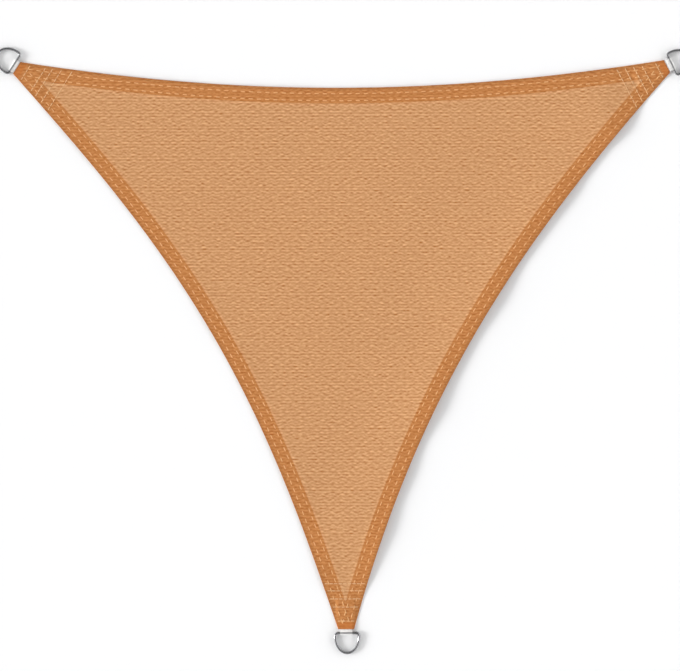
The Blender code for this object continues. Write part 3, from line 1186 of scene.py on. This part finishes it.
def ring_model(sizes):
    """One ring in the XY plane: the wire's section extruded all the way round."""
    weld = weld_place(sizes)
    stations = []
    for place, angle in ring_path(sizes):
        near = math.exp(-((place - weld).length / WELD_REACH) ** 2)
        stations.append(Station(place, angle, 1 + WELD_SWELL * near))
    upright = (math.pi / 2, 0, stations[0].turn)
    ring = drawn_round(stations, "Z", WIRE_SIDES, sizes.wire, upright)
    for number, vertex in enumerate(ring.data.vertices):
        vertex.select = number < WIRE_SIDES or number >= len(ring.data.vertices) - WIRE_SIDES
    for edge in ring.data.edges:
        a, b = edge.vertices
        edge.select = ring.data.vertices[a].select and ring.data.vertices[b].select
    bpy.ops.object.mode_set(mode="EDIT")
    bpy.ops.mesh.bridge_edge_loops()
    bpy.ops.mesh.select_all(action="SELECT")
    bpy.ops.mesh.normals_make_consistent()
    bpy.ops.object.mode_set(mode="OBJECT")
    gaps = np.linalg.norm(places_of(ring.data) - np.array(weld), axis=1)
    add_mark(ring.data, "weld", np.exp(-(gaps / (WELD_REACH * WELD_STAIN)) ** 2))
    ring.data.shade_smooth()
    return ring


class SAIL_OT_rings(bpy.types.Operator):
    """Bend a D-ring from round wire and hang a copy in each webbing loop"""
    bl_idname = "shade_sail.rings"
    bl_label = "D-rings"

    def execute(self, context):
        sizes = context.scene.sail_sizes
        model = ring_model(sizes)
        steel = polished_steel(context.scene.sail_colours)
        height = bar_height(sizes)
        tilt = math.asin((height - sizes.wire) / (sizes.bar_to_widest + sizes.bow_depth))
        for name, corner in CORNERS.items():
            mesh = model.data.copy()
            mesh.name = "d_ring_" + name
            matrix = corner_matrix(name, corner.ring_heading)
            matrix = matrix @ Matrix.Translation((corner.reach, corner.slip, height))
            mesh.transform(matrix @ Matrix.Rotation(tilt, 4, "Y"))
            ring = new_piece(mesh.name, mesh)
            settle(ring, steel)
            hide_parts("ring_" + name)
        bpy.data.objects.remove(model)
        return {"FINISHED"}


# -------------------- stage
# The photograph, in its own pixels and at the scale of the cloth
PHOTO_WIDTH = 680
PHOTO_SCALE = 3.0774 * MM  # metres of cloth for each pixel
PHOTO_MIDDLE = (-12.7 * MM, 45.6 * MM)
PHOTO_TURN = math.radians(-0.141)
LENS = 200.0  # millimetres: a long lens, straight above the cloth
SENSOR = 36.0
VIEW_DEPTH = 100.0
FLOOR_SIDE = 40.0
FLOOR_DROP = 0.2 * MM
SKY_STRENGTH = 2.25
OVERHEAD = (0.30, 0.70)  # heights in the sky, from bright to dim
OVERHEAD_GLOW = 0.12
AT_ZENITH = 0.0001  # keeps the share to the sides from dividing by nothing straight up
ROUND_GLOW = 0.35  # what the low sky adds all round
SIDE_GLOW = 1.3  # and adds again to the left and right
LOW_LIGHT_PLACE = (-2.0, 0.0, 1.0)
LOW_LIGHT_WAY = Vector((0.92, 0.03, -0.30))
LOW_LIGHT_SPREAD = math.radians(14)
LOW_LIGHT_STRENGTH = 2.2


def sky():
    """Soft light from all round: dim overhead, and brighter to the left and right than ahead."""
    world = bpy.data.worlds.new("studio")
    bpy.context.scene.world = world
    finish = Finish(world)
    x, y, z = finish.parts(finish.node("ShaderNodeTexCoord", output="Generated"))
    sideways = x * x / (x * x + y * y + AT_ZENITH)
    low = 1 - z.step(*OVERHEAD)
    glow = (sideways * SIDE_GLOW + ROUND_GLOW) * low + OVERHEAD_GLOW
    finish.set("Background", Strength=glow * SKY_STRENGTH, Color=(1, 1, 1, 1))


class SAIL_OT_stage(bpy.types.Operator):
    """Set up the pale floor, the soft light and the camera above the sail"""
    bl_idname = "shade_sail.stage"
    bl_label = "Stage"

    def execute(self, context):
        scene = context.scene
        scene.view_settings.view_transform = "Standard"
        deselect()
        bpy.ops.mesh.primitive_plane_add(size=FLOOR_SIDE, location=(0, 0, -FLOOR_DROP))
        floor = context.object
        floor.name = "floor"
        finish = new_material("floor")
        tone = finish.shaded(scene.sail_colours.floor, finish.noise(finish.place(), 0.5) * 0.002 + 1)
        finish.set(Base_Color=tone, Roughness=0.9, Specular_IOR_Level=0.1)
        floor.data.materials.append(finish.owner)
        sky()
        bpy.ops.object.light_add(type="SUN", location=LOW_LIGHT_PLACE)
        low = context.object
        low.name = "low_light"
        low.rotation_euler = LOW_LIGHT_WAY.to_track_quat("-Z", "Y").to_euler()
        low.data.angle = LOW_LIGHT_SPREAD
        low.data.energy = LOW_LIGHT_STRENGTH
        view_width = PHOTO_WIDTH * PHOTO_SCALE
        height = view_width * LENS / SENSOR
        bpy.ops.object.camera_add(location=(*PHOTO_MIDDLE, height), rotation=(0, 0, PHOTO_TURN))
        camera = context.object
        camera.name = "above"
        camera.data.lens = LENS
        camera.data.sensor_width = SENSOR
        camera.data.clip_end = VIEW_DEPTH
        scene.camera = camera
        return {"FINISHED"}


# -------------------- panel and main
OPERATORS = (
    SAIL_OT_stage, SAIL_OT_cloth, SAIL_OT_hem_stitches, SAIL_OT_corner_stitches,
    SAIL_OT_webbing, SAIL_OT_rings,
)


class SAIL_PT_panel(bpy.types.Panel):
    """Lists what makes the sail"""
    bl_idname = "SAIL_PT_panel"
    bl_label = "Shade sail"
    bl_space_type = "VIEW_3D"
    bl_region_type = "UI"
    bl_category = "Sail"

    def draw(self, context):
        for operator in OPERATORS:
            self.layout.operator(operator.bl_idname)
        for group in (context.scene.sail_sizes, context.scene.sail_colours):
            box = self.layout.box()
            for name in group.__annotations__:
                box.prop(group, name)


CLASSES = (SailSizes, SailColours, *OPERATORS, SAIL_PT_panel)


def register():
    for item in CLASSES:
        bpy.utils.register_class(item)
    bpy.types.Scene.sail_sizes = bpy.props.PointerProperty(type=SailSizes)
    bpy.types.Scene.sail_colours = bpy.props.PointerProperty(type=SailColours)


def unregister():
    del bpy.types.Scene.sail_colours
    del bpy.types.Scene.sail_sizes
    for item in reversed(CLASSES):
        bpy.utils.unregister_class(item)


def main():
    global LAY
    register()
    LAY = Lay(bpy.context.scene.sail_sizes)
    bpy.ops.shade_sail.stage()
    bpy.ops.shade_sail.cloth()
    bpy.ops.shade_sail.hem_stitches()
    bpy.ops.shade_sail.corner_stitches()
    bpy.ops.shade_sail.webbing()
    bpy.ops.shade_sail.rings()


if __name__ == "__main__":
    main()
